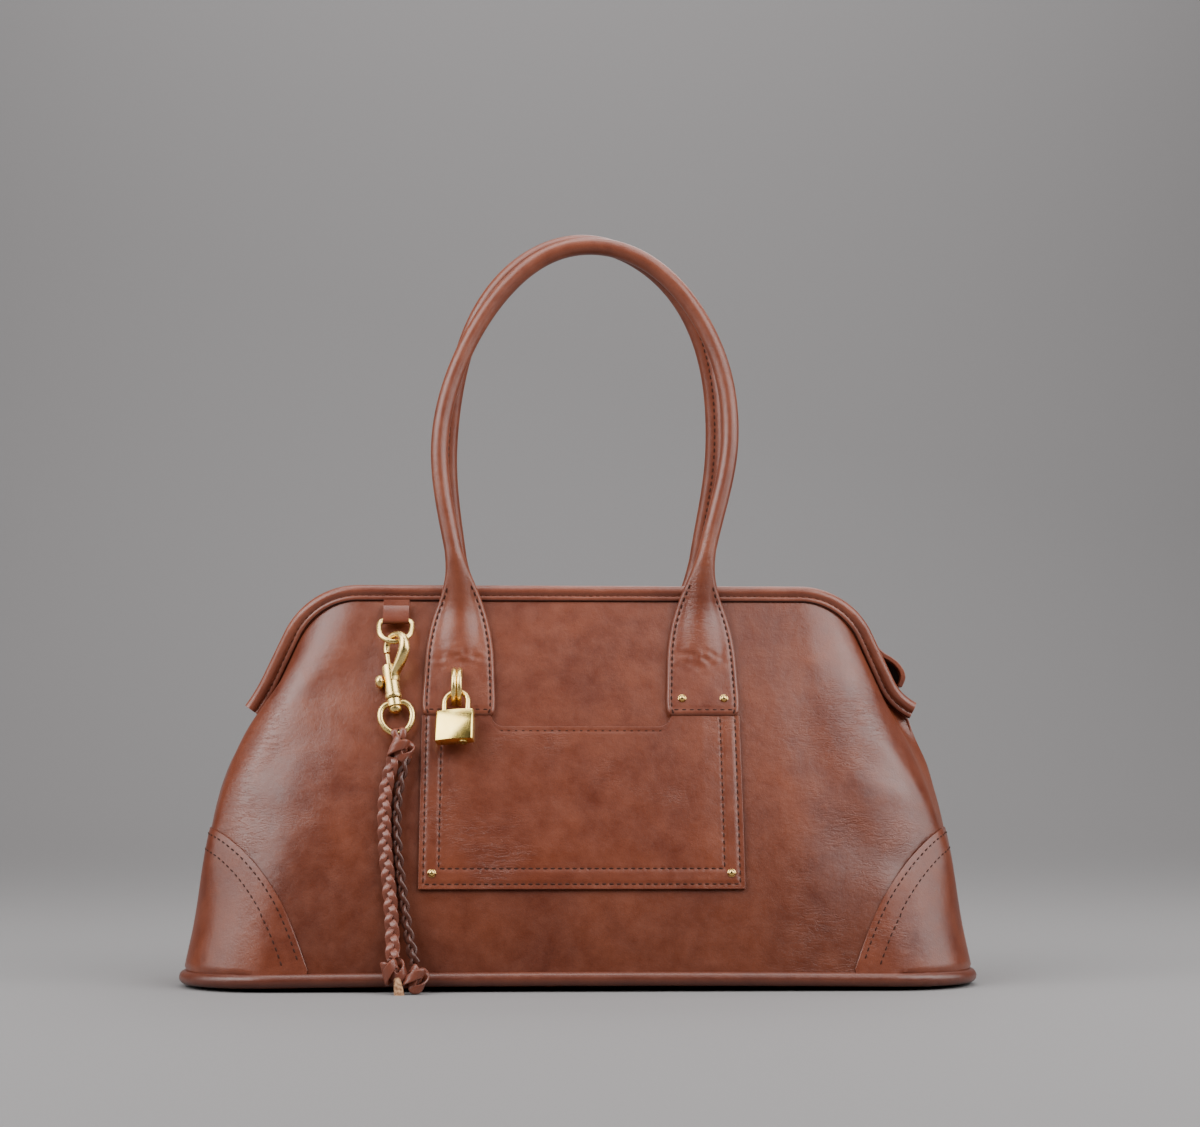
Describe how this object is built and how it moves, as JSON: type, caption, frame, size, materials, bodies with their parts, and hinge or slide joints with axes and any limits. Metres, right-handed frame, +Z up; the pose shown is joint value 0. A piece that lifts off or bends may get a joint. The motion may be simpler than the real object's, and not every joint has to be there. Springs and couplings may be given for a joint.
{
  "type": "shopper bag",
  "caption": "Structured leather shopper bag with a domed zip top, tall rolled handles, patch pocket, padlock and a braided lanyard on a snap hook.",
  "frame": {"origin": "on the floor under the middle of the base", "axes": "+Z up, +X to the right along the bag's length, -Y out of the front with the pocket"},
  "size_m": [0.4384, 0.1708, 0.434],
  "materials": {
    "leather": "waxed brown leather with soft cloudy shading",
    "lanyard_leather": "waxed brown leather thong",
    "brass": "satin brass plate",
    "zip_tape": "dark brown woven tape",
    "zip_chain": "satin brass teeth"
  },
  "bodies": {
    "bag": {"front_panel": "leather", "back_panel": "leather", "base_panel": "leather", "base_piping": "leather", "corner_patch_left": "leather", "corner_patch_right": "leather", "front_rim": "leather", "back_rim": "leather", "zip_tape_front": "zip_tape", "zip_tape_back": "zip_tape", "zip_chain": "zip_chain", "zip_slider": "brass", "zip_tail_tab": "leather", "front_pocket": "leather", "handle_front": "leather", "handle_back": "leather", "rivet_tab_inner": "brass", "rivet_tab_outer": "brass", "rivet_pocket_left": "brass", "rivet_pocket_right": "brass", "strap_loop": "leather", "hook_ring": "brass", "hook_body": "brass", "swivel_eye": "brass", "braid_loop": "lanyard_leather", "braid_head_knot": "lanyard_leather", "braid_end_knot_left": "lanyard_leather", "braid_end_knot_right": "lanyard_leather", "braid_left": "lanyard_leather", "braid_right": "lanyard_leather", "lock_ring": "brass"},
    "thumb_bolt": {"hook_bolt": "brass"},
    "padlock": {"padlock_shackle": "brass", "padlock_body": "brass", "padlock_key_plug": "brass"}
  },
  "joints": [
    {"name": "thumb_bolt_slide", "type": "slide", "parent": "bag", "child": "thumb_bolt", "axis": [0.165, -0.313, -0.9353], "range_m": [0, 0.006], "stiffness_N_per_m": 40, "springref_m": -0.004},
    {"name": "padlock_swing", "type": "hinge", "parent": "bag", "child": "padlock", "pos_m": [-0.0685, -0.04477, 0.16248], "axis": [-1, 0, 0], "range_deg": [0, 70]}
  ]
}
